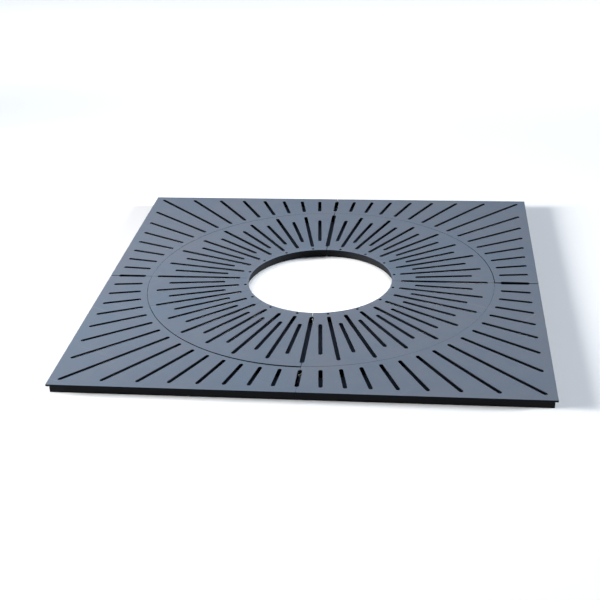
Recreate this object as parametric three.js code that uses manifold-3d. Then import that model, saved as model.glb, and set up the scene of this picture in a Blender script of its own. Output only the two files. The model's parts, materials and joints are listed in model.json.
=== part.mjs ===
// Square tree grate in millimetres, +Z up.
// The origin lies on the ground under the middle of the round opening. +X is the right side, +Y the back.
// Four corner panels stand round four ring panels, which lift out to widen the opening.
// Each panel is slotted steel plate welded on flat bars that stand on edge.

import * as THREE from 'three';
import { mergeVertices } from 'three/addons/utils/BufferGeometryUtils.js';
import Module from 'manifold-3d';

// Size of the whole grate
const grateSide = 1500;
const outerBandWidth = 150;
const openingDiameter = 500;

// Plate and flat bar
const plateThickness = 6;
const barHeight = 25;
const barThickness = 6;
const barInset = 8;

// Slots: a margin runs from a slot's tip to the edge of the plate that the name gives
const slotWidth = 13;
const outerSlotSideMargin = 30;
const outerSlotJointMargin = 20.5;
const seamSlotJointMargin = 20.5;
const longSlotJointMargin = 30.5;
const shortSlotJointMargin = 70.5;
const longSlotOpeningMargin = 31.5;
const shortSlotOpeningMargin = 81.5;

// Holes for the plug welds that hold each ring plate on the rim bar
const weldHoleDiameter = 10;

// Gaps between plates, as they lie in the photograph. A corner seam's gap is the one at the grate's side.
const jointGap = 1.7;
const ringPlateGap = 0.5;
const rightCornerSeamGap = 4.5;
const backCornerSeamGap = 1.7;
const leftCornerSeamGap = 4.5;
const frontCornerSeamGap = 0.6;
const rightRingSeamGap = 1.2;
const backRingSeamGap = 2.4;
const leftRingSeamGap = 1;
const frontRingSeamGap = 2;

// Gap where two skirt bars meet end to end under a seam, and clearance where one bar is welded to another
const skirtSeamGap = 0.6;
const weldGap = 0.3;

// Clearance where a bolt's head or nut meets a bar
const boltFaceGap = 0.2;

// Seam bolt and nut
const boltDiameter = 10;
const boltHoleClearance = 1;
const threadClearance = 0.3;
const boltHeadAcrossFlats = 16;
const boltHeadHeight = 6.4;
const nutHeight = 8;
const boltEndLength = 4;

// Counts
const panelsPerTurn = 4;
const slotsPerPanel = 16;
const platesPerRingPanel = 4;
const arcFacetsPerTurn = 96;
const slotEndFacets = 6;
const holeFacets = 12;
const boltFacets = 16;
const hexagonSides = 6;

// Sizes that follow
const halfSide = grateSide / 2;
const ringRadius = halfSide - outerBandWidth;
const openingRadius = openingDiameter / 2;
const slotRadius = slotWidth / 2;
const cornerArcRadius = ringRadius + jointGap;
const arcBarInnerRadius = cornerArcRadius + barInset;
const arcBarOuterRadius = arcBarInnerRadius + barThickness;
const jointBarOuterRadius = ringRadius - barInset;
const jointBarInnerRadius = jointBarOuterRadius - barThickness;
const rimBarInnerRadius = openingRadius + barInset;
const rimBarOuterRadius = rimBarInnerRadius + barThickness;
const weldHoleCircleRadius = (rimBarInnerRadius + rimBarOuterRadius) / 2;
const skirtOuterFace = halfSide - barInset;
const skirtInnerFace = skirtOuterFace - barThickness;

const quarterTurn = 2 * Math.PI / panelsPerTurn;
const slotStep = quarterTurn / slotsPerPanel;
const ringPlateTurn = quarterTurn / platesPerRingPanel;
const slotsPerRingPlate = slotsPerPanel / platesPerRingPanel;

// The seams between panels, counter-clockwise from the right, with their gaps in the corners and in the ring.
// The corner panels do not lie quite square to each other, so a seam between them is a slim wedge:
// the share gives its gap where it meets the circular joint.
const seams = [
  { name: 'right', cornerGap: rightCornerSeamGap, jointEndShare: 1.8, ringGap: rightRingSeamGap },
  { name: 'back', cornerGap: backCornerSeamGap, jointEndShare: 0.7, ringGap: backRingSeamGap },
  { name: 'left', cornerGap: leftCornerSeamGap, jointEndShare: 0.45, ringGap: leftRingSeamGap },
  { name: 'front', cornerGap: frontCornerSeamGap, jointEndShare: 1.3, ringGap: frontRingSeamGap },
];

// The corners in the same order. Each one's arc is cut a little off, so that the circular joint is not
// equally open all round: the shares give its gap at the corner's first seam, halfway and at its second seam.
const corners = [
  { name: 'back_right', jointGapShares: [1.5, 1, 0.25] },
  { name: 'back_left', jointGapShares: [0.25, 1, 0.25] },
  { name: 'front_left', jointGapShares: [0.5, 2, 4.4] },
  { name: 'front_right', jointGapShares: [0.8, 0.25, 0.5] },
];

const wasm = await Module();
wasm.setup();

function plateMaterial() {
  return new THREE.MeshStandardMaterial({ color: 0x78828f, roughness: 0.5, metalness: 0.1 });
}

function barMaterial() {
  return new THREE.MeshStandardMaterial({ color: 0x17191c, roughness: 0.6, metalness: 0.1 });
}

function boltMaterial() {
  return new THREE.MeshStandardMaterial({ color: 0x2a2c2f, roughness: 0.45, metalness: 0.6 });
}

function piece(name, geometry, material) {
  const mesh = new THREE.Mesh(geometry, material);
  mesh.name = name;
  return mesh;
}

function extruded(outline, holes, depth) {
  const shape = new THREE.Shape(outline);
  shape.holes = holes.map((points) => new THREE.Path(points));
  return new THREE.ExtrudeGeometry(shape, { depth, bevelEnabled: false });
}

function solidFrom(geometry) {
  const bare = geometry.clone();
  bare.deleteAttribute('normal');
  bare.deleteAttribute('uv');
  const merged = mergeVertices(bare);
  const vertProperties = new Float32Array(merged.attributes.position.array);
  const triVerts = new Uint32Array(merged.index.array);
  return new wasm.Manifold(new wasm.Mesh({ numProp: 3, vertProperties, triVerts }));
}

function joined(first, second) {
  const mesh = solidFrom(first).add(solidFrom(second)).getMesh();
  const geometry = new THREE.BufferGeometry();
  geometry.setAttribute('position', new THREE.BufferAttribute(mesh.vertProperties, mesh.numProp));
  geometry.setIndex(new THREE.BufferAttribute(mesh.triVerts, 1));
  return geometry;
}

// A point at a distance out along a direction, moved sideways, which is counter-clockwise where positive
function pointAlong(angle, distance, sideways) {
  const x = distance * Math.cos(angle) - sideways * Math.sin(angle);
  const y = distance * Math.sin(angle) + sideways * Math.cos(angle);
  return new THREE.Vector2(x, y);
}

// Where a line parallel to a radius, a little to its side, meets a circle about the origin
function reachOfCircle(radius, sideways) {
  return Math.sqrt(radius * radius - sideways * sideways);
}

// The corners of a faceted arc that lie between two angles. All arcs share the same facets.
function arcPoints(centre, radius, fromAngle, toAngle) {
  const facet = 2 * Math.PI / arcFacetsPerTurn;
  const points = [];
  for (let i = Math.floor(fromAngle / facet) + 1; i < Math.ceil(toAngle / facet); i += 1) {
    points.push(pointAlong(i * facet, radius, 0).add(centre));
  }
  return points;
}

function circlePoints(centre, radius, facets) {
  const points = [];
  for (let i = 0; i < facets; i += 1) {
    points.push(pointAlong(2 * Math.PI * i / facets, radius, 0).add(centre));
  }
  return points;
}

// A whole slot with round ends, between its two tips
function slotPoints(angle, innerTip, outerTip) {
  const points = [];
  for (let i = 0; i <= slotEndFacets; i += 1) {
    const turn = Math.PI / 2 - Math.PI * i / slotEndFacets;
    const along = outerTip - slotRadius + slotRadius * Math.cos(turn);
    points.push(pointAlong(angle, along, slotRadius * Math.sin(turn)));
  }
  for (let i = 0; i <= slotEndFacets; i += 1) {
    const turn = -Math.PI / 2 - Math.PI * i / slotEndFacets;
    const along = innerTip + slotRadius + slotRadius * Math.cos(turn);
    points.push(pointAlong(angle, along, slotRadius * Math.sin(turn)));
  }
  return points;
}

// A straight plate edge beside a seam, with half a slot cut into it, listed from the inside out.
// The plate lies counter-clockwise of the edge where side is 1, and clockwise of it where side is -1.
// ends holds the distance of each end along the seam and its half gap; tips holds the slot's two tips.
function seamEdgePoints(angle, side, ends, tips) {
  const widening = (ends.outerHalfGap - ends.innerHalfGap) / (ends.outer - ends.inner);
  const edgePoint = (along, depth) => {
    const halfGap = ends.innerHalfGap + widening * (along - ends.inner);
    return pointAlong(angle, along, side * (halfGap + depth));
  };
  const points = [edgePoint(ends.inner, 0)];
  const facets = slotEndFacets / 2;
  for (let i = 0; i <= facets; i += 1) {
    const turn = Math.PI / 2 * i / facets;
    const along = tips.inner + slotRadius - slotRadius * Math.cos(turn);
    points.push(edgePoint(along, slotRadius * Math.sin(turn)));
  }
  for (let i = facets; i >= 0; i -= 1) {
    const turn = Math.PI / 2 * i / facets;
    const along = tips.outer - slotRadius + slotRadius * Math.cos(turn);
    points.push(edgePoint(along, slotRadius * Math.sin(turn)));
  }
  points.push(edgePoint(ends.outer, 0));
  return points;
}

// Part of a flat ring between two seams, each edge parallel to its seam and half a gap away from it
function ringSectorPoints(innerRadius, outerRadius, firstHalfGap, secondHalfGap) {
  const centre = new THREE.Vector2();
  return [
    pointAlong(0, reachOfCircle(innerRadius, firstHalfGap), firstHalfGap),
    pointAlong(0, reachOfCircle(outerRadius, firstHalfGap), firstHalfGap),
    ...arcPoints(centre, outerRadius, 0, quarterTurn),
    pointAlong(quarterTurn, reachOfCircle(outerRadius, secondHalfGap), -secondHalfGap),
    pointAlong(quarterTurn, reachOfCircle(innerRadius, secondHalfGap), -secondHalfGap),
    ...arcPoints(centre, innerRadius, 0, quarterTurn).reverse(),
  ];
}

function curvedBar(innerRadius, outerRadius, firstHalfGap, secondHalfGap) {
  return extruded(ringSectorPoints(innerRadius, outerRadius, firstHalfGap, secondHalfGap), [], barHeight);
}

// One of the plates that make up a ring panel, in the place of the panel's first one
function ringPlate(firstHalfGap, secondHalfGap) {
  const centre = new THREE.Vector2();
  const longInnerTip = openingRadius + longSlotOpeningMargin;
  const shortInnerTip = openingRadius + shortSlotOpeningMargin;
  const seamOuterTip = ringRadius - seamSlotJointMargin;
  const edge = (angle, side, halfGap) => {
    const ends = {
      inner: reachOfCircle(openingRadius, halfGap),
      outer: reachOfCircle(ringRadius, halfGap),
      innerHalfGap: halfGap,
      outerHalfGap: halfGap,
    };
    return seamEdgePoints(angle, side, ends, { inner: longInnerTip, outer: seamOuterTip });
  };
  const outline = [
    ...edge(0, 1, firstHalfGap),
    ...arcPoints(centre, ringRadius, 0, ringPlateTurn),
    ...edge(ringPlateTurn, -1, secondHalfGap).reverse(),
    ...arcPoints(centre, openingRadius, 0, ringPlateTurn).reverse(),
  ];
  const holes = [];
  for (let i = 1; i < slotsPerRingPlate; i += 1) {
    const isMiddle = 2 * i === slotsPerRingPlate;
    const innerTip = isMiddle ? longInnerTip : shortInnerTip;
    const outerTip = ringRadius - (isMiddle ? longSlotJointMargin : shortSlotJointMargin);
    holes.push(slotPoints(i * slotStep, innerTip, outerTip));
  }
  const weldHoleCentre = pointAlong(ringPlateTurn / 2, weldHoleCircleRadius, 0);
  holes.push(circlePoints(weldHoleCentre, weldHoleDiameter / 2, holeFacets));
  return extruded(outline, holes, plateThickness);
}

// The arc that leaves a corner's own gaps to the ring, at its first seam, halfway and at its second seam.
// What moving the centre does at the ends and in the middle gives the radius and the centre.
function cornerArc(gaps) {
  const [first, middle, second] = gaps;
  const growth = (middle - (first + second) * Math.SQRT1_2) / (1 - Math.SQRT2);
  return {
    radius: ringRadius + growth,
    centre: new THREE.Vector2(first - growth, second - growth),
  };
}

// A corner plate, for the quarter between +X and +Y
function cornerPlate(corner, firstGaps, secondGaps) {
  const arc = cornerArc(corner.jointGapShares.map((share) => share * jointGap));
  const tips = { inner: cornerArcRadius + outerSlotJointMargin, outer: halfSide - outerSlotSideMargin };
  const firstEnds = {
    inner: arc.centre.x + reachOfCircle(arc.radius, firstGaps.jointHalfGap - arc.centre.y),
    outer: halfSide,
    innerHalfGap: firstGaps.jointHalfGap,
    outerHalfGap: firstGaps.sideHalfGap,
  };
  const secondEnds = {
    inner: arc.centre.y + reachOfCircle(arc.radius, secondGaps.jointHalfGap - arc.centre.x),
    outer: halfSide,
    innerHalfGap: secondGaps.jointHalfGap,
    outerHalfGap: secondGaps.sideHalfGap,
  };
  const outline = [
    ...seamEdgePoints(0, 1, firstEnds, tips),
    new THREE.Vector2(halfSide, halfSide),
    ...seamEdgePoints(quarterTurn, -1, secondEnds, tips).reverse(),
    ...arcPoints(arc.centre, arc.radius, 0, quarterTurn).reverse(),
  ];
  const holes = [];
  for (let i = 1; i < slotsPerPanel; i += 1) {
    const angle = i * slotStep;
    const sideReach = tips.outer / Math.max(Math.cos(angle), Math.sin(angle));
    holes.push(slotPoints(angle, tips.inner, sideReach));
  }
  return extruded(outline, holes, plateThickness);
}

function onBars(mesh) {
  mesh.position.z = barHeight;
  return mesh;
}

// The seam bar that stands beside a seam along +X, on its counter-clockwise side
function seamBarSpan(halfGap) {
  const nearFace = halfGap + barInset;
  const from = reachOfCircle(arcBarOuterRadius, nearFace) + weldGap;
  const to = skirtInnerFace - weldGap;
  return { nearFace, from, to, boltPlace: (from + to) / 2 };
}

function seamBar(name, halfGap, side) {
  const { nearFace, from, to, boltPlace } = seamBarSpan(halfGap);
  const outline = [
    new THREE.Vector2(from, 0),
    new THREE.Vector2(to, 0),
    new THREE.Vector2(to, barHeight),
    new THREE.Vector2(from, barHeight),
  ];
  const holeCentre = new THREE.Vector2(boltPlace, barHeight / 2);
  const hole = circlePoints(holeCentre, boltDiameter / 2 + boltHoleClearance, holeFacets);
  const bar = piece(name, extruded(outline, [hole], barThickness), barMaterial());
  bar.rotation.x = Math.PI / 2;
  bar.position.y = side > 0 ? nearFace + barThickness : -nearFace;
  return bar;
}

// A skirt bar under the side that crosses +X, from the seam to the grate's corner or short of it
function skirtBar(name, from, to) {
  const outline = [
    new THREE.Vector2(skirtInnerFace, from),
    new THREE.Vector2(skirtOuterFace, from),
    new THREE.Vector2(skirtOuterFace, to),
    new THREE.Vector2(skirtInnerFace, to),
  ];
  return piece(name, extruded(outline, [], barHeight), barMaterial());
}

// Half of a corner seam's gap at each end, and the wider of the two, which the seam and arc bars keep to
function seamHalfGaps(seam) {
  const sideHalfGap = seam.cornerGap / 2;
  const jointHalfGap = seam.jointEndShare * sideHalfGap;
  return { sideHalfGap, jointHalfGap, barHalfGap: Math.max(sideHalfGap, jointHalfGap) };
}

function cornerPanel(index) {
  const corner = corners[index];
  const firstSeam = seams[index];
  const secondSeam = seams[(index + 1) % panelsPerTurn];
  const firstGaps = seamHalfGaps(firstSeam);
  const secondGaps = seamHalfGaps(secondSeam);
  const panel = new THREE.Group();
  const plate = cornerPlate(corner, firstGaps, secondGaps);
  panel.add(onBars(piece(`${corner.name}_corner_plate`, plate, plateMaterial())));
  const arcBar = curvedBar(
    arcBarInnerRadius,
    arcBarOuterRadius,
    firstGaps.barHalfGap + barInset,
    secondGaps.barHalfGap + barInset,
  );
  panel.add(piece(`${corner.name}_arc_bar`, arcBar, barMaterial()));
  panel.add(seamBar(`${corner.name}_seam_bar_${firstSeam.name}`, firstGaps.barHalfGap, 1));
  panel.add(skirtBar(`${corner.name}_skirt_bar_${firstSeam.name}`, skirtSeamGap / 2, skirtOuterFace));

  const secondSide = new THREE.Group();
  secondSide.rotation.z = quarterTurn;
  secondSide.add(seamBar(`${corner.name}_seam_bar_${secondSeam.name}`, secondGaps.barHalfGap, -1));
  const buttEnd = skirtInnerFace - weldGap;
  const secondSkirtBar = skirtBar(
    `${corner.name}_skirt_bar_${secondSeam.name}`,
    -buttEnd,
    -skirtSeamGap / 2,
  );
  secondSide.add(secondSkirtBar);
  panel.add(secondSide);

  panel.rotation.z = index * quarterTurn;
  return panel;
}

function ringPanel(index) {
  const corner = corners[index];
  const firstHalfGap = seams[index].ringGap / 2;
  const secondHalfGap = seams[(index + 1) % panelsPerTurn].ringGap / 2;
  const panel = new THREE.Group();
  const rimBar = curvedBar(rimBarInnerRadius, rimBarOuterRadius, firstHalfGap, secondHalfGap);
  panel.add(piece(`${corner.name}_rim_bar`, rimBar, barMaterial()));
  const jointBar = curvedBar(jointBarInnerRadius, jointBarOuterRadius, firstHalfGap, secondHalfGap);
  panel.add(piece(`${corner.name}_joint_bar`, jointBar, barMaterial()));
  for (let i = 0; i < platesPerRingPanel; i += 1) {
    const startGap = i === 0 ? firstHalfGap : ringPlateGap / 2;
    const endGap = i === platesPerRingPanel - 1 ? secondHalfGap : ringPlateGap / 2;
    const plate = piece(`${corner.name}_ring_plate_${i + 1}`, ringPlate(startGap, endGap), plateMaterial());
    plate.rotation.z = i * ringPlateTurn;
    panel.add(onBars(plate));
  }
  panel.rotation.z = index * quarterTurn;
  return panel;
}

function seamBolt(name, reach) {
  const headRadius = boltHeadAcrossFlats / 2 / Math.cos(Math.PI / hexagonSides);
  const tip = -reach - nutHeight - boltEndLength;
  const top = reach + boltHeadHeight;
  const head = new THREE.CylinderGeometry(headRadius, headRadius, boltHeadHeight, hexagonSides);
  head.translate(0, top - boltHeadHeight / 2, 0);
  const shankTop = top - boltHeadHeight / 2;
  const shank = new THREE.CylinderGeometry(boltDiameter / 2, boltDiameter / 2, shankTop - tip, boltFacets);
  shank.translate(0, (shankTop + tip) / 2, 0);
  return piece(name, joined(head, shank), boltMaterial());
}

function seamNut(name, reach) {
  const centre = new THREE.Vector2();
  const nutRadius = boltHeadAcrossFlats / 2 / Math.cos(Math.PI / hexagonSides);
  const bore = circlePoints(centre, boltDiameter / 2 + threadClearance, boltFacets);
  const outline = circlePoints(centre, nutRadius, hexagonSides);
  const nut = piece(name, extruded(outline, [bore], nutHeight), boltMaterial());
  nut.rotation.x = Math.PI / 2;
  nut.position.y = -reach;
  return nut;
}

// The bolt and nut that pull the two corner panels beside a seam together
function seamFastener(index) {
  const seam = seams[index];
  const { nearFace, boltPlace } = seamBarSpan(seamHalfGaps(seam).barHalfGap);
  const reach = nearFace + barThickness + boltFaceGap;
  const fastener = new THREE.Group();
  fastener.add(seamBolt(`seam_bolt_${seam.name}`, reach));
  fastener.add(seamNut(`seam_nut_${seam.name}`, reach));
  fastener.position.set(boltPlace, 0, barHeight / 2);
  const turned = new THREE.Group();
  turned.add(fastener);
  turned.rotation.z = index * quarterTurn;
  return turned;
}

const grate = new THREE.Group();
for (let i = 0; i < panelsPerTurn; i += 1) {
  grate.add(cornerPanel(i));
  grate.add(ringPanel(i));
  grate.add(seamFastener(i));
}

export default grate;
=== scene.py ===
"""The looks of a square tree grate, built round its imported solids. Lengths are in metres."""

import json
import math

import bmesh
import bpy
from mathutils import Matrix, Vector
from mathutils.geometry import tessellate_polygon


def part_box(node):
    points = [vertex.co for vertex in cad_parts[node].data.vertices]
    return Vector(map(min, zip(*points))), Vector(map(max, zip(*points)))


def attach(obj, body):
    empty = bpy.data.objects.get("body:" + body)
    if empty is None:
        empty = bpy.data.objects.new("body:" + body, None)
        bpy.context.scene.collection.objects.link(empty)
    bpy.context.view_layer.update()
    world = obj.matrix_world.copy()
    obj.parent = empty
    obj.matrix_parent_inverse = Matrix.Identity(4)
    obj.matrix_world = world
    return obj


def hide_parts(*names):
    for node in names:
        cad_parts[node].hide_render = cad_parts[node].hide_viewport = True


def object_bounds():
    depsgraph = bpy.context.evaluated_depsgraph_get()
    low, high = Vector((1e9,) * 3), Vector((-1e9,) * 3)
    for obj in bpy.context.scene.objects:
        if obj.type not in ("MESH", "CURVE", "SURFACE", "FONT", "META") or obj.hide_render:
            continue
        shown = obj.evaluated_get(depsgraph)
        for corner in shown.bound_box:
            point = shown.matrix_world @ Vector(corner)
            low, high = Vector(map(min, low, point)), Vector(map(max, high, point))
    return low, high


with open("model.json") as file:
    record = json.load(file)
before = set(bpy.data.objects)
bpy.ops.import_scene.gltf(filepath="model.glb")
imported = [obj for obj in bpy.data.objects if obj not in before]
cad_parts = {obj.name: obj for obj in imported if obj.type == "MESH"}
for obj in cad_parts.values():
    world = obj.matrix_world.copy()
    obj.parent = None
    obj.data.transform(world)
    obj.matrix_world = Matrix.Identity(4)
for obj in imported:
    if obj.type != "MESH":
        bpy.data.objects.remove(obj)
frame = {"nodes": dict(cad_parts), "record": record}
cad_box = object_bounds()

MM = 0.001

# Rounding of cut and rolled edges
PLATE_EDGE_RADIUS = 0.2 * MM
BAR_EDGE_RADIUS = 0.9 * MM
EDGE_ROUND_STEPS = 2

# How far a refined arc may lie from the true one, and what counts as an arc in a faceted outline
ARC_TOLERANCE = 0.02 * MM
ARC_TURN_MIN = math.radians(0.2)
ARC_TURN_MAX = math.radians(45)
ARC_CHORD_RATIO = 1.5
MERGE_DISTANCE = 0.001 * MM

# What counts as a face of a solid's front: how squarely it faces the axis, and how far back it may lie
CAP_FACING_MIN = 0.9
CAP_DEPTH = 0.1 * MM

# Neighbouring faces that meet at less than this angle are shaded as one smooth surface
SMOOTH_WALL_ANGLE = math.radians(30)
SMOOTH_WELD_ANGLE = math.radians(50)
SMOOTH_FASTENER_ANGLE = math.radians(25)

# Weld beads
BEAD_LEG = 3.5 * MM
BEAD_LENGTH = 38 * MM
BEAD_SPACING = 122 * MM
BEAD_END_MARGIN = 16 * MM
BEAD_RIPPLE_PITCH = 2.6 * MM
BEAD_RIPPLE_DEPTH_SHARE = 0.12
BEAD_STEPS_PER_RIPPLE = 4
BEAD_PROFILE_STEPS = 5
BEAD_BULGE_SHARE = 0.28
BEAD_TIP_SHARE = 0.15

# Bolts and nuts
BOLT_RADIUS = 5 * MM
BOLT_HEAD_HEIGHT = 6.4 * MM
HEAD_CHAMFER = 1.0 * MM
CHAMFER_SLOPE = math.sqrt(3)
CHAMFER_STEPS = 3
THREAD_LENGTH = 24 * MM
THREAD_PITCH = 1.5 * MM
THREAD_DEPTH = 0.75 * MM
BOLT_TIP_CHAMFER = 1.2 * MM
NUT_BORE_RADIUS = 5.3 * MM
TURN_STEPS = 48
THREAD_STEPS_PER_PITCH = 6

CORNERS = ("back_right", "back_left", "front_left", "front_right")
SEAMS = ("right", "back", "left", "front")
RING_PLATES = 4

# Marks in the coat: their stretch along, the noise at which one starts, and how they are thinned out
SCRATCH_ALONG = 1.2
SCRATCH_START = 0.68
SCRATCH_FULL = 0.72
SCRATCH_GATE_ALONG = 3.0
SCRATCH_GATE_ACROSS = 40.0
SCRATCH_GATE_SOFTNESS = 0.05

# Floor, just under what stands on it
FLOOR_SIDE = 200
FLOOR_DEPTH = 0.2 * MM

# Two broad low lights, at angles in degrees from +X and above the floor
BROAD_LIGHT_SPREAD = math.radians(16)
BROAD_LIGHT_DISTANCE = 6
BROAD_LIGHT_ELEVATION = 11
LEFT_AZIMUTH = 187
LEFT_STRENGTH = 5.2
LEFT_COLOUR = (1.0, 1.0, 0.985)
RIGHT_AZIMUTH = 7
RIGHT_STRENGTH = 8.4
RIGHT_COLOUR = (0.94, 1.0, 1.06)

# Softboxes: one at the left, and one over the floor behind the grate
SOFTBOX_SPREAD = math.radians(80)
LEFT_SOFTBOX_PLACE = (-4.2, -0.6, 1.0)
LEFT_SOFTBOX_TARGET = (0, 0, 0)
LEFT_SOFTBOX_SIZE = (1.2, 1.0)
LEFT_SOFTBOX_POWER = 75
FAR_SOFTBOX_PLACE = (0, 3.3, 2.2)
FAR_SOFTBOX_TARGET = (0, 3.5, 0)
FAR_SOFTBOX_SIZE = (7.5, 1.6)
FAR_SOFTBOX_POWER = 18

# Light on the floor inside the opening: its cone ends just inside the opening's edge
OPENING_LIGHT_HEIGHT = 3.0
OPENING_LIGHT_REACH = 0.248
OPENING_LIGHT_POWER = 300
OPENING_LIGHT_BLEND = 0.15
OPENING_LIGHT_RADIUS = 0.03

# Surroundings, by how far a direction points upwards: pale up to one level, dim from the next
PALE_BAND_TOP = 0.12
DIM_SKY_BOTTOM = 0.30

# Camera, as solved from the photograph: a plain perspective camera with a small roll and no shift
IMAGE_SIDE_PX = 600
FOCAL_LENGTH_PX = 1117.9
SENSOR_WIDTH_MM = 36
CAMERA_AZIMUTH = math.radians(7.391)
CAMERA_ELEVATION = math.radians(26.893)
CAMERA_ROLL = math.radians(-2.097)
CAMERA_PLACE_SHARES = (0.5065, -4.6594, 2.2729)


def turn_at(previous, here, following):
    """The signed angle by which a path turns at a point."""
    before = here - previous
    after = following - here
    return math.atan2(before.x * after.y - before.y * after.x, before.dot(after))


def circle_through(a, b, c):
    """Centre of the circle through three points in a plane."""
    bx, by = b.x - a.x, b.y - a.y
    cx, cy = c.x - a.x, c.y - a.y
    twice_area = 2 * (bx * cy - by * cx)
    b_square = bx * bx + by * by
    c_square = cx * cx + cy * cy
    x = (cy * b_square - by * c_square) / twice_area
    y = (bx * c_square - cx * b_square) / twice_area
    return Vector((a.x + x, a.y + y))


def refined(loop):
    """A faceted outline with its arcs made smooth by points on the circle through each arc's corners."""
    count = len(loop)
    centres = []
    for i in range(count):
        previous, here, following = loop[i - 1], loop[i], loop[(i + 1) % count]
        turn = abs(turn_at(previous, here, following))
        chords = sorted(((here - previous).length, (following - here).length))
        on_arc = ARC_TURN_MIN < turn < ARC_TURN_MAX and chords[1] < ARC_CHORD_RATIO * chords[0]
        centres.append(circle_through(previous, here, following) if on_arc else None)
    points = []
    for i in range(count):
        start, end = loop[i], loop[(i + 1) % count]
        points.append(start)
        centre = centres[i] or centres[(i + 1) % count]
        if centre is None:
            continue
        radius = (start - centre).length
        first = start - centre
        last = end - centre
        sweep = math.atan2(first.x * last.y - first.y * last.x, first.dot(last))
        step = 2 * math.acos(1 - ARC_TOLERANCE / radius)
        steps = math.ceil(abs(sweep) / step)
        for k in range(1, steps):
            points.append(centre + Matrix.Rotation(sweep * k / steps, 2) @ first)
    return points


def inset(loop, distance):
    """The outline moved into the material, which lies on its left, by a distance."""
    count = len(loop)
    points = []
    for i in range(count):
        before = (loop[i] - loop[i - 1]).normalized()
        after = (loop[(i + 1) % count] - loop[i]).normalized()
        left_before = Vector((-before.y, before.x))
        left_after = Vector((-after.y, after.x))
        miter = (left_before + left_after) / (1 + left_before.dot(left_after))
        points.append(loop[i] + miter * distance)
    return points


def cap_outlines(node, axis):
    """The outlines of a solid's front, its end face towards an axis (0, 1 or 2), and its two end heights."""
    across = ((axis + 1) % 3, (axis + 2) % 3)
    low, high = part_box(node)
    bm = bmesh.new()
    bm.from_mesh(frame["nodes"][node].data)
    bmesh.ops.remove_doubles(bm, verts=bm.verts, dist=MERGE_DISTANCE)
    bm.normal_update()
    front = high[axis] - CAP_DEPTH
    cap = [f for f in bm.faces if f.normal[axis] > CAP_FACING_MIN and f.calc_center_median()[axis] > front]
    in_cap = set(cap)
    following = {}
    for face in cap:
        for corner in face.loops:
            if any(other not in in_cap for other in corner.edge.link_faces):
                following[corner.vert] = corner.link_loop_next.vert
    outlines = []
    while following:
        vert = next(iter(following))
        outline = []
        while vert in following:
            outline.append(Vector((vert.co[across[0]], vert.co[across[1]])))
            vert = following.pop(vert)
        outlines.append(outline)
    bm.free()
    return outlines, low[axis], high[axis]


def wall_normals(outline):
    """For each edge of an outline, the outward normals at its two ends. Smooth neighbours share them."""
    count = len(outline)
    outward = []
    for i in range(count):
        along = (outline[(i + 1) % count] - outline[i]).normalized()
        outward.append(Vector((along.y, -along.x)))
    normals = []
    for i in range(count):
        ends = []
        for neighbour in (i - 1, (i + 1) % count):
            smooth = outward[i].dot(outward[neighbour]) > math.cos(SMOOTH_WALL_ANGLE)
            ends.append((outward[i] + outward[neighbour]).normalized() if smooth else outward[i])
        normals.append(ends)
    return normals


def standing(axis, flat, height):
    """The point in space that lies at a place in the plane across an axis, and at a height along it."""
    place = Vector()
    place[axis] = height
    place[(axis + 1) % 3] = flat.x
    place[(axis + 2) % 3] = flat.y
    return place


def rim_levels(edge_radius, low, high):
    """Rings of a slab's side, front to back: inset, height, and the normal's shares outwards and along."""
    turns = [math.pi / 2 * k / EDGE_ROUND_STEPS for k in range(EDGE_ROUND_STEPS + 1)]
    front = []
    back = []
    for turn in turns:
        side = edge_radius * (1 - math.sin(turn))
        depth = edge_radius * (1 - math.cos(turn))
        front.append((side, high - depth, math.sin(turn), math.cos(turn)))
        back.append((side, low + depth, math.sin(turn), -math.cos(turn)))
    return front + back[::-1]


def slab_side(bm, wear, shading, outline, axis, rims):
    """The rounded rims and the wall along one outline. Returns the first and the last ring of corners."""
    normals = wall_normals(outline)
    middle_of_front_rim = EDGE_ROUND_STEPS // 2
    rings = []
    for index, (side, height, _, _) in enumerate(rims):
        ring = [bm.verts.new(standing(axis, point, height)) for point in inset(outline, side)]
        for vert in ring:
            vert[wear] = 1.0 if index == middle_of_front_rim else 0.0
        rings.append(ring)
    for index in range(len(rings) - 1):
        upper, lower = rings[index], rings[index + 1]
        upper_out, upper_along = rims[index][2:]
        lower_out, lower_along = rims[index + 1][2:]
        for i in range(len(upper)):
            j = (i + 1) % len(upper)
            face = bm.faces.new((upper[i], lower[i], lower[j], upper[j]))
            face.smooth = True
            face.material_index = 0 if index < middle_of_front_rim else 1
            start, end = normals[i]
            corner_normals = {
                upper[i]: standing(axis, start * upper_out, upper_along),
                lower[i]: standing(axis, start * lower_out, lower_along),
                lower[j]: standing(axis, end * lower_out, lower_along),
                upper[j]: standing(axis, end * upper_out, upper_along),
            }
            for corner in face.loops:
                corner[shading] = corner_normals[corner.vert]
    return rings[0], rings[-1]


def slab_cap(bm, shading, rings, axis, facing, material_index):
    """The flat face that fills an outer ring of corners, less the holes."""
    across = ((axis + 1) % 3, (axis + 2) % 3)
    verts = [vert for ring in rings for vert in ring]
    flat = [[(v.co[across[0]], v.co[across[1]], 0) for v in ring] for ring in rings]
    for a, b, c in tessellate_polygon(flat):
        face = bm.faces.new((verts[a], verts[b], verts[c]))
        face.normal_update()
        if face.normal[axis] * facing < 0:
            face.normal_flip()
        face.smooth = True
        face.material_index = material_index
        for corner in face.loops:
            corner[shading] = standing(axis, Vector((0, 0)), facing)


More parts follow.
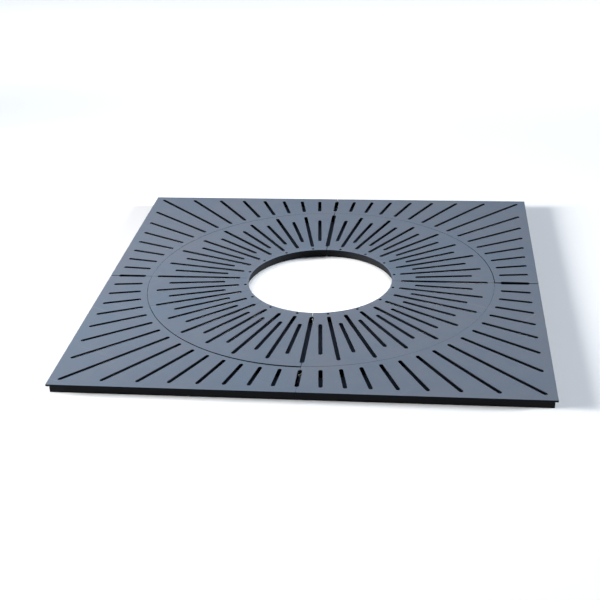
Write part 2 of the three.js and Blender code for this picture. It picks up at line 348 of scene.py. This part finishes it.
def slab_mesh(name, node, axis, edge_radius):
    """A finer copy of an extruded solid, with smooth arcs and rounded rims.

    Its first material is on the front and the half of the rim next to it, its second on all the rest.
    """
    outlines, low, high = cap_outlines(node, axis)
    bm = bmesh.new()
    wear = bm.verts.layers.float.new("edge_share")
    shading = bm.loops.layers.float_vector.new("corner_normal")
    rims = rim_levels(edge_radius, low, high)
    sides = [slab_side(bm, wear, shading, refined(outline), axis, rims) for outline in outlines]
    front_rings, back_rings = zip(*sides)
    slab_cap(bm, shading, front_rings, axis, facing=1, material_index=0)
    slab_cap(bm, shading, back_rings, axis, facing=-1, material_index=1)
    mesh = bpy.data.meshes.new(name)
    bm.to_mesh(mesh)
    bm.free()
    corner_normals = [corner.vector.copy() for corner in mesh.attributes["corner_normal"].data]
    mesh.normals_split_custom_set(corner_normals)
    mesh.attributes.remove(mesh.attributes["corner_normal"])
    return mesh


def body_of(node):
    """The name of the body that a solid moves with."""
    bodies = frame["record"]["behaviour"]["bodies"]
    return next(body for body, nodes in bodies.items() if node in nodes)


def placed(name, mesh, materials, body, replaced=()):
    """Puts a mesh in the scene as a piece that moves with a body."""
    piece = bpy.data.objects.new(name, mesh)
    bpy.context.scene.collection.objects.link(piece)
    for material in materials:
        mesh.materials.append(material)
    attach(piece, body)
    if replaced:
        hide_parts(*replaced)
    return piece


def finished(node, axis, edge_radius, materials):
    """Puts the finer copy of a solid in the scene, in the solid's place."""
    mesh = slab_mesh(f"finished_{node}", node, axis, edge_radius)
    return placed(f"finished_{node}", mesh, materials, body_of(node), [node])


# Weld beads

def bead_rings(bm, path, out, down):
    """A rippled fillet along a path. out(index) and down point along the two faces that it fills between."""
    length = sum((b - a).length for a, b in zip(path, path[1:]))
    walked = 0.0
    rings = []
    for index, point in enumerate(path):
        if index:
            walked += (point - path[index - 1]).length
        phase = math.pi * walked / BEAD_RIPPLE_PITCH
        ripple = 1 - BEAD_RIPPLE_DEPTH_SHARE * (1 - abs(math.sin(phase)))
        from_end = min(walked, length - walked) / BEAD_LEG
        taper = math.sqrt(min(1.0, BEAD_TIP_SHARE + from_end))
        leg = BEAD_LEG * ripple * taper
        side = out(index)
        ring = [bm.verts.new(point)]
        for k in range(BEAD_PROFILE_STEPS + 1):
            turn = math.pi / 2 * k / BEAD_PROFILE_STEPS
            share = k / BEAD_PROFILE_STEPS
            bulge = BEAD_BULGE_SHARE * math.sin(2 * turn)
            outwards = (1 - share + bulge) * side
            downwards = (share + bulge) * down
            ring.append(bm.verts.new(point + leg * (outwards + downwards)))
        rings.append(ring)
    size = len(rings[0])
    for first, second in zip(rings, rings[1:]):
        for i in range(size):
            j = (i + 1) % size
            bm.faces.new((first[i], first[j], second[j], second[i])).smooth = True
    bm.faces.new(list(reversed(rings[0])))
    bm.faces.new(rings[-1])


def straight_bead(bm, start, end, out, down):
    """A weld bead along a straight line."""
    steps = round((end - start).length / BEAD_RIPPLE_PITCH * BEAD_STEPS_PER_RIPPLE)
    path = [start.lerp(end, i / steps) for i in range(steps + 1)]
    bead_rings(bm, path, lambda index: out, down)


def arc_bead(bm, radius, from_angle, to_angle, height, outward):
    """A weld bead under a plate along an arc. outward is 1 on a bar's outer side and -1 on its inner side."""
    steps = round(radius * (to_angle - from_angle) / BEAD_RIPPLE_PITCH * BEAD_STEPS_PER_RIPPLE)
    angles = [from_angle + (to_angle - from_angle) * i / steps for i in range(steps + 1)]
    path = [Vector((radius * math.cos(a), radius * math.sin(a), height)) for a in angles]

    def out(index):
        return Vector((math.cos(angles[index]), math.sin(angles[index]), 0)) * outward

    bead_rings(bm, path, out, Vector((0, 0, -1)))


def stitches(length):
    """Starts of evenly spaced stitch welds along a bar, as distances from its first end."""
    room = length - 2 * BEAD_END_MARGIN - BEAD_LENGTH
    count = max(1, round(room / BEAD_SPACING) + 1)
    if count == 1:
        return [(length - BEAD_LENGTH) / 2]
    return [BEAD_END_MARGIN + room * i / (count - 1) for i in range(count)]


def curved_bar_radii(node):
    """Inner and outer radius of a quarter-circle bar, read from its solid."""
    distances = [Vector((v.co.x, v.co.y)).length for v in frame["nodes"][node].data.vertices]
    return min(distances), max(distances)


def curved_bar_welds(bm, node, corner_index, outward):
    """Stitches under the plate along the outer or the inner face of a quarter-circle bar."""
    inner, outer = curved_bar_radii(node)
    radius = outer if outward > 0 else inner
    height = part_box(node)[1].z
    start_angle = math.pi / 2 * corner_index
    for start in stitches(radius * math.pi / 2):
        from_angle = start_angle + start / radius
        to_angle = start_angle + (start + BEAD_LENGTH) / radius
        arc_bead(bm, radius, from_angle, to_angle, height, outward)


def straight_bar_welds(bm, node, away):
    """Stitches under the plate along the face of a straight bar that looks in the direction away."""
    low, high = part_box(node)
    along = 0 if high.x - low.x > high.y - low.y else 1
    across = 1 - along
    face = high[across] if away[across] > 0 else low[across]
    for start in stitches(high[along] - low[along]):
        a = Vector((0, 0, high.z))
        b = Vector((0, 0, high.z))
        a[across] = b[across] = face
        a[along] = low[along] + start
        b[along] = low[along] + start + BEAD_LENGTH
        straight_bead(bm, a, b, Vector(away), Vector((0, 0, -1)))


def upright_weld(bm, node_a, node_b, towards):
    """An upright bead inside the corner where two skirt bars meet."""
    low_a, high_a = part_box(node_a)
    low_b, high_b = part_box(node_b)
    x = max(low_a.x, low_b.x) if towards.x < 0 else min(high_a.x, high_b.x)
    y = max(low_a.y, low_b.y) if towards.y < 0 else min(high_a.y, high_b.y)
    foot = Vector((x, y, low_a.z + BEAD_LEG))
    head = Vector((x, y, high_a.z - BEAD_LEG))
    straight_bead(bm, foot, head, Vector((towards.x, 0, 0)), Vector((0, towards.y, 0)))


def mesh_from(bm, name, smooth_angle):
    """Turns the built shape into a mesh with its faces pointing out and its corners sharp."""
    bmesh.ops.recalc_face_normals(bm, faces=bm.faces)
    mesh = bpy.data.meshes.new(name)
    bm.to_mesh(mesh)
    bm.free()
    mesh.set_sharp_from_angle(angle=smooth_angle)
    return mesh


def direction(index):
    """The unit vector from the middle of the grate to a seam, as whole numbers."""
    return Vector(((1, 0, 0), (0, 1, 0), (-1, 0, 0), (0, -1, 0))[index % 4])


def corner_welds(index, corner, material):
    """All the welds of one corner panel, as one piece."""
    first, second = SEAMS[index], SEAMS[(index + 1) % 4]
    to_first, to_second = direction(index), direction(index + 1)
    first_skirt = f"{corner}_skirt_bar_{first}"
    second_skirt = f"{corner}_skirt_bar_{second}"
    bm = bmesh.new()
    curved_bar_welds(bm, f"{corner}_arc_bar", index, 1)
    straight_bar_welds(bm, f"{corner}_seam_bar_{first}", to_second)
    straight_bar_welds(bm, f"{corner}_seam_bar_{second}", to_first)
    straight_bar_welds(bm, first_skirt, -to_first)
    straight_bar_welds(bm, second_skirt, -to_second)
    upright_weld(bm, first_skirt, second_skirt, -(to_first + to_second))
    mesh = mesh_from(bm, f"{corner}_corner_welds", SMOOTH_WELD_ANGLE)
    placed(f"{corner}_corner_welds", mesh, [material], body_of(f"{corner}_arc_bar"))


def ring_welds(index, corner, material):
    """All the welds of one ring panel, as one piece."""
    bm = bmesh.new()
    curved_bar_welds(bm, f"{corner}_rim_bar", index, 1)
    curved_bar_welds(bm, f"{corner}_joint_bar", index, -1)
    mesh = mesh_from(bm, f"{corner}_ring_welds", SMOOTH_WELD_ANGLE)
    placed(f"{corner}_ring_welds", mesh, [material], body_of(f"{corner}_rim_bar"))


def make_welds():
    coat = weld_coat()
    for index, corner in enumerate(CORNERS):
        corner_welds(index, corner, coat)
        ring_welds(index, corner, coat)


# Bolts and nuts

def hexagon_reach(angle, across_flats):
    """Distance from a hexagon's middle to its side, with a corner straight up."""
    sector = math.pi / 3
    offset = (angle % sector) - sector / 2
    return across_flats / 2 / math.cos(offset)


def turned_ring(bm, height, reach):
    """A ring of corners at a height, whose distance from the axis is reach(angle, height)."""
    ring = []
    for i in range(TURN_STEPS):
        angle = 2 * math.pi * i / TURN_STEPS
        radius = reach(angle, height)
        ring.append(bm.verts.new((radius * math.cos(angle), radius * math.sin(angle), height)))
    return ring


def turned_mesh(name, heights, reach, frame_matrix, bore=None):
    """A solid whose distance from its axis is reach(angle, height), with a hole of radius bore if given."""
    bm = bmesh.new()
    rings = [turned_ring(bm, height, reach) for height in heights]
    if bore:
        rings += [turned_ring(bm, height, lambda angle, level: bore) for height in (heights[-1], heights[0])]
        rings.append(rings[0])
    for first, second in zip(rings, rings[1:]):
        for i in range(TURN_STEPS):
            j = (i + 1) % TURN_STEPS
            bm.faces.new((first[i], first[j], second[j], second[i])).smooth = True
    if not bore:
        bm.faces.new(list(reversed(rings[0])))
        bm.faces.new(rings[-1])
    bm.transform(frame_matrix)
    return mesh_from(bm, name, SMOOTH_FASTENER_ANGLE)


def levels(start, end, steps):
    """Evenly spaced values from start to end."""
    return [start + (end - start) * i / steps for i in range(steps + 1)]


def fastener_frame(centre, axis_direction):
    """A matrix that lays a turned piece's axis along a level direction, with its first angle upwards."""
    x = Vector((0, 0, 1))
    z = Vector(axis_direction)
    y = z.cross(x)
    matrix = Matrix((x, y, z)).transposed().to_4x4()
    matrix.translation = centre
    return matrix


def fastener_sizes(node, axis_direction):
    """Centre of a bolt's or nut's solid, its length along the axis and its width across the flats."""
    low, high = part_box(node)
    size = high - low
    across_direction = axis_direction.cross(Vector((0, 0, 1)))
    return (low + high) / 2, abs(size.dot(axis_direction)), abs(size.dot(across_direction))


def seam_bolt(node, head_direction, material):
    """A hexagon bolt in its solid's place: chamfered head, plain shank, and a thread up to the tip."""
    centre, length, across = fastener_sizes(node, head_direction)
    tip = -length / 2
    under_head = length / 2 - BOLT_HEAD_HEIGHT
    top = length / 2
    thread_end = tip + THREAD_LENGTH

    def reach(angle, height):
        if height > under_head:
            crown = across / 2 + HEAD_CHAMFER - max(0.0, height - (top - HEAD_CHAMFER)) * CHAMFER_SLOPE
            return min(hexagon_reach(angle, across), crown)
        if height > thread_end:
            return BOLT_RADIUS
        phase = (height / THREAD_PITCH - angle / (2 * math.pi)) % 1
        groove = THREAD_DEPTH * abs(2 * phase - 1)
        nose = BOLT_RADIUS - max(0.0, BOLT_TIP_CHAMFER - (height - tip))
        return min(BOLT_RADIUS - groove, nose)

    thread_steps = round(THREAD_LENGTH / THREAD_PITCH * THREAD_STEPS_PER_PITCH)
    heights = levels(tip, thread_end, thread_steps)
    heights += [thread_end + MERGE_DISTANCE, under_head, under_head + MERGE_DISTANCE, top - HEAD_CHAMFER]
    heights += levels(top - HEAD_CHAMFER, top, CHAMFER_STEPS)[1:]
    mesh = turned_mesh(f"finished_{node}", heights, reach, fastener_frame(centre, head_direction))
    placed(f"finished_{node}", mesh, [material], body_of(node), [node])


def seam_nut(node, head_direction, material):
    """A hexagon nut in its solid's place, bored through and chamfered at both ends."""
    centre, length, across = fastener_sizes(node, head_direction)
    half = length / 2

    def reach(angle, height):
        from_face = half - abs(height)
        crown = across / 2 + HEAD_CHAMFER - max(0.0, HEAD_CHAMFER - from_face) * CHAMFER_SLOPE
        return min(hexagon_reach(angle, across), crown)

    heights = levels(-half, HEAD_CHAMFER - half, CHAMFER_STEPS)
    heights += levels(half - HEAD_CHAMFER, half, CHAMFER_STEPS)
    matrix = fastener_frame(centre, head_direction)
    mesh = turned_mesh(f"finished_{node}", heights, reach, matrix, NUT_BORE_RADIUS)
    placed(f"finished_{node}", mesh, [material], body_of(node), [node])


# Node materials

def new_material(name):
    material = bpy.data.materials.new(name)
    material.use_nodes = True
    return material, material.node_tree, material.node_tree.nodes["Principled BSDF"]


def shader_node(tree, kind, inputs=None, **settings):
    """Adds a shader node. Inputs are values or other nodes' sockets."""
    made = tree.nodes.new(kind)
    for name, value in settings.items():
        setattr(made, name, value)
    for key, value in (inputs or {}).items():
        if isinstance(value, bpy.types.NodeSocket):
            tree.links.new(value, made.inputs[key])
        else:
            made.inputs[key].default_value = value
    return made


def object_place(tree):
    return shader_node(tree, "ShaderNodeTexCoord").outputs["Object"]


def stretched(tree, place, x, y, z):
    inputs = {0: place, 1: (x, y, z)}
    return shader_node(tree, "ShaderNodeVectorMath", inputs, operation="MULTIPLY").outputs["Vector"]


def noise(tree, place, scale, detail=2.0, roughness=0.5):
    inputs = {"Vector": place, "Scale": scale, "Detail": detail, "Roughness": roughness}
    return shader_node(tree, "ShaderNodeTexNoise", inputs).outputs["Fac"]


def between(tree, value, low, high, to_low=0.0, to_high=1.0):
    """Maps a value from low and high to to_low and to_high, and holds it there beyond them."""
    inputs = {"Value": value, "From Min": low, "From Max": high, "To Min": to_low, "To Max": to_high}
    return shader_node(tree, "ShaderNodeMapRange", inputs, clamp=True).outputs["Result"]


def maths(tree, operation, first, second):
    return shader_node(tree, "ShaderNodeMath", {0: first, 1: second}, operation=operation).outputs["Value"]


def mixed(tree, share, first, second):
    """Mixes two colours, which are the node's inputs 6 and 7. Its output 2 is the mixed colour."""
    made = shader_node(tree, "ShaderNodeMix", {0: share, 6: first, 7: second}, data_type="RGBA")
    return made.outputs[2]


def bump(tree, height, strength, distance, normal=None):
    inputs = {"Height": height, "Strength": strength, "Distance": distance}
    if normal is not None:
        inputs["Normal"] = normal
    return shader_node(tree, "ShaderNodeBump", inputs).outputs["Normal"]


def rgba(red, green, blue):
    return (red, green, blue, 1.0)


def rim_share(tree):
    """1 along the middle of a rounded rim and 0 on either side of it."""
    return shader_node(tree, "ShaderNodeAttribute", attribute_name="edge_share").outputs["Fac"]


def scratches(tree, place, angle, density, fineness):
    """Long thin marks in one direction, as a mask. They are rarer the higher density is."""
    inputs = {"Vector": place, "Angle": angle}
    turned = shader_node(tree, "ShaderNodeVectorRotate", inputs, rotation_type="Z_AXIS").outputs["Vector"]
    lines = noise(tree, stretched(tree, turned, SCRATCH_ALONG, fineness, 1), scale=1.0, detail=1.0)
    gate_place = stretched(tree, turned, SCRATCH_GATE_ALONG, SCRATCH_GATE_ACROSS, 1)
    gate = noise(tree, gate_place, scale=1.0, detail=0.0)
    mask = between(tree, lines, SCRATCH_START, SCRATCH_FULL)
    return maths(tree, "MULTIPLY", mask, between(tree, gate, density, density + SCRATCH_GATE_SOFTNESS))


def plate_colour(tree, place, patches, dust, marks):
    """The walking face's colour: two greys in clouds, lighter as painted sky sheen, with patches, grain,
    dust, marks and rubbed rims.
    """
    # Painted sky sheen: these greys are set lighter than the dark coat, standing in for the bright sky it
    # reflects.
    blue_grey = rgba(0.118, 0.152, 0.198)
    violet_grey = rgba(0.142, 0.157, 0.189)
    patch_grey = rgba(0.110, 0.135, 0.177)
    grain_grey = rgba(0.232, 0.259, 0.304)
    dust_grey = rgba(0.241, 0.254, 0.277)
    mark_grey = rgba(0.286, 0.304, 0.330)
    rubbed_grey = rgba(0.268, 0.290, 0.321)
    mark_share = 0.35
    clouds = between(tree, noise(tree, place, scale=1.6, detail=3.0, roughness=0.55), 0.35, 0.65, to_high=0.6)
    mottle = between(tree, noise(tree, place, scale=17.0), 0.35, 0.65, to_high=0.4)
    colour = mixed(tree, maths(tree, "ADD", clouds, mottle), blue_grey, violet_grey)
    colour = mixed(tree, between(tree, patches, 0.42, 0.72, to_high=0.35), colour, patch_grey)
    grain = noise(tree, place, scale=900.0)
    colour = mixed(tree, between(tree, grain, 0.3, 0.7, to_high=0.10), colour, grain_grey)
    colour = mixed(tree, between(tree, dust, 0.60, 0.80, to_high=0.35), colour, dust_grey)
    colour = mixed(tree, maths(tree, "MULTIPLY", marks, mark_share), colour, mark_grey)
    wear = noise(tree, place, scale=30.0, detail=5.0, roughness=0.7)
    rubbed = maths(tree, "MULTIPLY", rim_share(tree), between(tree, wear, 0.40, 0.65, to_high=0.35))
    return mixed(tree, rubbed, colour, rubbed_grey)


def plate_coat_painted_sheen():
    """Blue-grey matt coat on the walking face, lighter as painted sky sheen: clouded, a little dusty, lightly
    scratched, rubbed at rims.
    """
    material, tree, shader = new_material("plate_coat_painted_sheen")
    place = object_place(tree)
    patches = noise(tree, place, scale=9.0, detail=4.0, roughness=0.6)
    dust = noise(tree, place, scale=55.0, detail=6.0, roughness=0.75)
    long_marks = scratches(tree, place, angle=0.5, density=0.60, fineness=420.0)
    cross_marks = scratches(tree, place, angle=2.2, density=0.64, fineness=520.0)
    marks = maths(tree, "MAXIMUM", long_marks, cross_marks)
    tree.links.new(plate_colour(tree, place, patches, dust, marks), shader.inputs["Base Color"])
    rough = between(tree, patches, 0.3, 0.7, to_low=0.70, to_high=0.82)
    rough = maths(tree, "ADD", rough, between(tree, dust, 0.60, 0.80, to_high=0.12))
    tree.links.new(rough, shader.inputs["Roughness"])
    shader.inputs["Specular IOR Level"].default_value = 0.04
    peel = noise(tree, place, scale=420.0, detail=3.0)
    waves = noise(tree, place, scale=14.0)
    normal = bump(tree, peel, strength=0.25, distance=0.08 * MM)
    normal = bump(tree, waves, strength=0.2, distance=0.6 * MM, normal=normal)
    normal = bump(tree, marks, strength=0.3, distance=0.05 * MM, normal=normal)
    tree.links.new(normal, shader.inputs["Normal"])
    return material


def cut_edge_painted_shade_coat():
    """The coat on cut walls and the underside, painted dark as shade, with the fine upright lines of the cut.
    """
    # Painted shade: the same coat as the walking face, set near black where walls and underside get little
    # light.
    dark_blue = rgba(0.0018, 0.0028, 0.0050)
    lighter_blue = rgba(0.0032, 0.0048, 0.0080)
    line_grey = rgba(0.006, 0.008, 0.012)
    material, tree, shader = new_material("cut_edge_painted_shade_coat")
    place = object_place(tree)
    lines = noise(tree, stretched(tree, place, 700.0, 700.0, 25.0), scale=1.0)
    patches = noise(tree, place, scale=20.0, detail=4.0, roughness=0.6)
    colour = mixed(tree, between(tree, patches, 0.35, 0.7), dark_blue, lighter_blue)
    colour = mixed(tree, between(tree, lines, 0.4, 0.7, to_high=0.4), colour, line_grey)
    tree.links.new(colour, shader.inputs["Base Color"])
    rough = between(tree, lines, 0.3, 0.7, to_low=0.5, to_high=0.7)
    tree.links.new(rough, shader.inputs["Roughness"])
    shader.inputs["Specular IOR Level"].default_value = 0.06
    tree.links.new(bump(tree, lines, strength=0.5, distance=0.1 * MM), shader.inputs["Normal"])
    return material


def bar_coat():
    """Black satin coat on rolled flat bar: uneven gloss, fine pits, a little dust, rubbed corners."""
    black = rgba(0.0037, 0.0041, 0.0051)
    lighter_black = rgba(0.0060, 0.0064, 0.0076)
    dust_grey = rgba(0.036, 0.036, 0.037)
    rubbed_grey = rgba(0.05, 0.05, 0.052)
    material, tree, shader = new_material("bar_coat")
    place = object_place(tree)
    patches = noise(tree, place, scale=14.0, detail=5.0, roughness=0.65)
    rolling = noise(tree, stretched(tree, place, 60.0, 60.0, 500.0), scale=1.0, detail=3.0)
    pits = noise(tree, place, scale=600.0)
    colour = mixed(tree, between(tree, patches, 0.35, 0.7), black, lighter_black)
    dust = noise(tree, place, scale=120.0, detail=5.0, roughness=0.7)
    colour = mixed(tree, between(tree, dust, 0.56, 0.78, to_high=0.20), colour, dust_grey)
    wear = noise(tree, place, scale=45.0, detail=4.0, roughness=0.7)
    rubbed = maths(tree, "MULTIPLY", rim_share(tree), between(tree, wear, 0.45, 0.7))
    colour = mixed(tree, rubbed, colour, rubbed_grey)
    tree.links.new(colour, shader.inputs["Base Color"])
    rough = between(tree, patches, 0.3, 0.7, to_low=0.38, to_high=0.62)
    tree.links.new(rough, shader.inputs["Roughness"])
    shader.inputs["Specular IOR Level"].default_value = 0.07
    normal = bump(tree, rolling, strength=0.25, distance=0.08 * MM)
    normal = bump(tree, pits, strength=0.3, distance=0.06 * MM, normal=normal)
    tree.links.new(normal, shader.inputs["Normal"])
    return material


def weld_coat():
    """Black coat over welds, unevenly glossy, with spatter."""
    black = rgba(0.008, 0.008, 0.009)
    lighter_black = rgba(0.022, 0.021, 0.021)
    material, tree, shader = new_material("weld_coat")
    place = object_place(tree)
    patches = noise(tree, place, scale=90.0, detail=4.0, roughness=0.6)
    spatter = between(tree, noise(tree, place, scale=700.0, detail=1.0), 0.62, 0.72)
    colour = mixed(tree, between(tree, patches, 0.35, 0.7), black, lighter_black)
    tree.links.new(colour, shader.inputs["Base Color"])
    rough = between(tree, patches, 0.3, 0.7, to_low=0.30, to_high=0.55)
    tree.links.new(rough, shader.inputs["Roughness"])
    shader.inputs["Specular IOR Level"].default_value = 0.25
    tree.links.new(bump(tree, spatter, strength=0.6, distance=0.15 * MM), shader.inputs["Normal"])
    return material


def fastener_coat():
    """Dull zinc under thin black paint that is worn through in patches."""
    black = rgba(0.018, 0.018, 0.019)
    zinc = rgba(0.16, 0.16, 0.165)
    material, tree, shader = new_material("fastener_coat")
    place = object_place(tree)
    patches = noise(tree, place, scale=160.0, detail=5.0, roughness=0.65)
    colour = mixed(tree, between(tree, patches, 0.48, 0.62), black, zinc)
    tree.links.new(colour, shader.inputs["Base Color"])
    tree.links.new(between(tree, patches, 0.45, 0.65, to_high=0.8), shader.inputs["Metallic"])
    smears = noise(tree, place, scale=60.0, detail=3.0)
    rough = between(tree, smears, 0.3, 0.7, to_low=0.35, to_high=0.6)
    tree.links.new(rough, shader.inputs["Roughness"])
    tree.links.new(bump(tree, patches, strength=0.3, distance=0.05 * MM), shader.inputs["Normal"])
    return material


def floor_material():
    """A plain pale floor, very slightly clouded."""
    pale_grey = rgba(0.91, 0.91, 0.91)
    paler_grey = rgba(0.93, 0.93, 0.93)
    material, tree, shader = new_material("floor_finish")
    clouds = noise(tree, object_place(tree), scale=0.8, detail=3.0)
    colour = mixed(tree, between(tree, clouds, 0.3, 0.7), pale_grey, paler_grey)
    tree.links.new(colour, shader.inputs["Base Color"])
    shader.inputs["Roughness"].default_value = 0.9
    shader.inputs["Specular IOR Level"].default_value = 0.1
    return material


# Stage, light and camera

def make_floor():
    half = FLOOR_SIDE / 2
    corners = [(-half, -half), (half, -half), (half, half), (-half, half)]
    mesh = bpy.data.meshes.new("floor")
    mesh.from_pydata([(x, y, -FLOOR_DEPTH) for x, y in corners], [], [(0, 1, 2, 3)])
    mesh.materials.append(floor_material())
    floor = bpy.data.objects.new("floor", mesh)
    bpy.context.scene.collection.objects.link(floor)


def broad_light(name, azimuth, strength, colour):
    """A broad even light from low down on one side."""
    light = bpy.data.lights.new(name, "SUN")
    light.energy = strength
    light.color = colour
    light.angle = BROAD_LIGHT_SPREAD
    lamp = bpy.data.objects.new(name, light)
    a, e = math.radians(azimuth), math.radians(BROAD_LIGHT_ELEVATION)
    towards = Vector((math.cos(a) * math.cos(e), math.sin(a) * math.cos(e), math.sin(e)))
    lamp.rotation_euler = towards.to_track_quat("Z", "Y").to_euler()
    lamp.location = towards * BROAD_LIGHT_DISTANCE
    bpy.context.scene.collection.objects.link(lamp)


def softbox(name, place, target, size, power):
    light = bpy.data.lights.new(name, "AREA")
    light.shape = "RECTANGLE"
    light.size, light.size_y = size
    light.energy = power
    light.spread = SOFTBOX_SPREAD
    lamp = bpy.data.objects.new(name, light)
    lamp.location = place
    lamp.rotation_euler = (Vector(target) - Vector(place)).to_track_quat("-Z", "Y").to_euler()
    lamp.visible_camera = False
    bpy.context.scene.collection.objects.link(lamp)


def opening_light():
    """A narrow soft light from straight above that falls on the floor inside the opening."""
    light = bpy.data.lights.new("opening_light", "SPOT")
    light.energy = OPENING_LIGHT_POWER
    light.spot_size = 2 * math.atan(OPENING_LIGHT_REACH / OPENING_LIGHT_HEIGHT)
    light.spot_blend = OPENING_LIGHT_BLEND
    light.shadow_soft_size = OPENING_LIGHT_RADIUS
    lamp = bpy.data.objects.new("opening_light", light)
    lamp.location = (0, 0, OPENING_LIGHT_HEIGHT)
    bpy.context.scene.collection.objects.link(lamp)


def studio_surroundings():
    """Dim blue above, so that little light falls through the slots, and pale like the floor lower down."""
    pale = rgba(0.98, 0.985, 0.99)
    dim_blue = rgba(0.045, 0.062, 0.098)
    world = bpy.data.worlds.new("studio")
    world.use_nodes = True
    tree = world.node_tree
    towards = shader_node(tree, "ShaderNodeTexCoord").outputs["Generated"]
    upward = shader_node(tree, "ShaderNodeSeparateXYZ", {"Vector": towards}).outputs["Z"]
    colour = mixed(tree, between(tree, upward, PALE_BAND_TOP, DIM_SKY_BOTTOM), pale, dim_blue)
    tree.links.new(colour, tree.nodes["Background"].inputs["Color"])
    bpy.context.scene.world = world


def light_the_scene():
    studio_surroundings()
    broad_light("left_light", LEFT_AZIMUTH, LEFT_STRENGTH, LEFT_COLOUR)
    broad_light("right_light", RIGHT_AZIMUTH, RIGHT_STRENGTH, RIGHT_COLOUR)
    softbox("left_softbox", LEFT_SOFTBOX_PLACE, LEFT_SOFTBOX_TARGET, LEFT_SOFTBOX_SIZE, LEFT_SOFTBOX_POWER)
    softbox("far_softbox", FAR_SOFTBOX_PLACE, FAR_SOFTBOX_TARGET, FAR_SOFTBOX_SIZE, FAR_SOFTBOX_POWER)
    opening_light()
    bpy.context.scene.view_settings.view_transform = "Standard"


def make_camera():
    """The camera at the photograph's viewing angle, placed in shares of half the grate's side."""
    a, e = CAMERA_AZIMUTH, CAMERA_ELEVATION
    back = Vector((math.sin(a) * math.cos(e), -math.cos(a) * math.cos(e), math.sin(e)))
    level_right = Vector((math.cos(a), math.sin(a), 0))
    level_up = back.cross(level_right)
    right = math.cos(CAMERA_ROLL) * level_right + math.sin(CAMERA_ROLL) * level_up
    up = math.cos(CAMERA_ROLL) * level_up - math.sin(CAMERA_ROLL) * level_right
    data = bpy.data.cameras.new("camera")
    data.sensor_width = SENSOR_WIDTH_MM
    data.lens = FOCAL_LENGTH_PX / IMAGE_SIDE_PX * SENSOR_WIDTH_MM
    camera = bpy.data.objects.new("camera", data)
    matrix = Matrix((right, up, back)).transposed().to_4x4()
    half_side = cad_box[1].x
    matrix.translation = Vector(CAMERA_PLACE_SHARES) * half_side + Vector((0, 0, cad_box[1].z))
    camera.matrix_world = matrix
    bpy.context.scene.collection.objects.link(camera)
    bpy.context.scene.camera = camera


def make_plates():
    # The walking face gets the coat made light as painted sky sheen; walls and underside get it dark as
    # painted shade.
    coats = [plate_coat_painted_sheen(), cut_edge_painted_shade_coat()]
    for corner in CORNERS:
        finished(f"{corner}_corner_plate", 2, PLATE_EDGE_RADIUS, coats)
        for number in range(1, RING_PLATES + 1):
            finished(f"{corner}_ring_plate_{number}", 2, PLATE_EDGE_RADIUS, coats)


def make_bars():
    coat = bar_coat()
    for index, corner in enumerate(CORNERS):
        for kind in ("arc_bar", "rim_bar", "joint_bar"):
            finished(f"{corner}_{kind}", 2, BAR_EDGE_RADIUS, [coat, coat])
        for seam_index in (index, index + 1):
            seam = SEAMS[seam_index % 4]
            thin_axis = 1 - seam_index % 2
            finished(f"{corner}_seam_bar_{seam}", thin_axis, BAR_EDGE_RADIUS, [coat, coat])
            finished(f"{corner}_skirt_bar_{seam}", 2, BAR_EDGE_RADIUS, [coat, coat])


def make_fasteners():
    coat = fastener_coat()
    for index, seam in enumerate(SEAMS):
        head_direction = direction(index + 1)
        seam_bolt(f"seam_bolt_{seam}", head_direction, coat)
        seam_nut(f"seam_nut_{seam}", head_direction, coat)


make_camera()
light_the_scene()
make_floor()
make_plates()
make_bars()
make_welds()
make_fasteners()
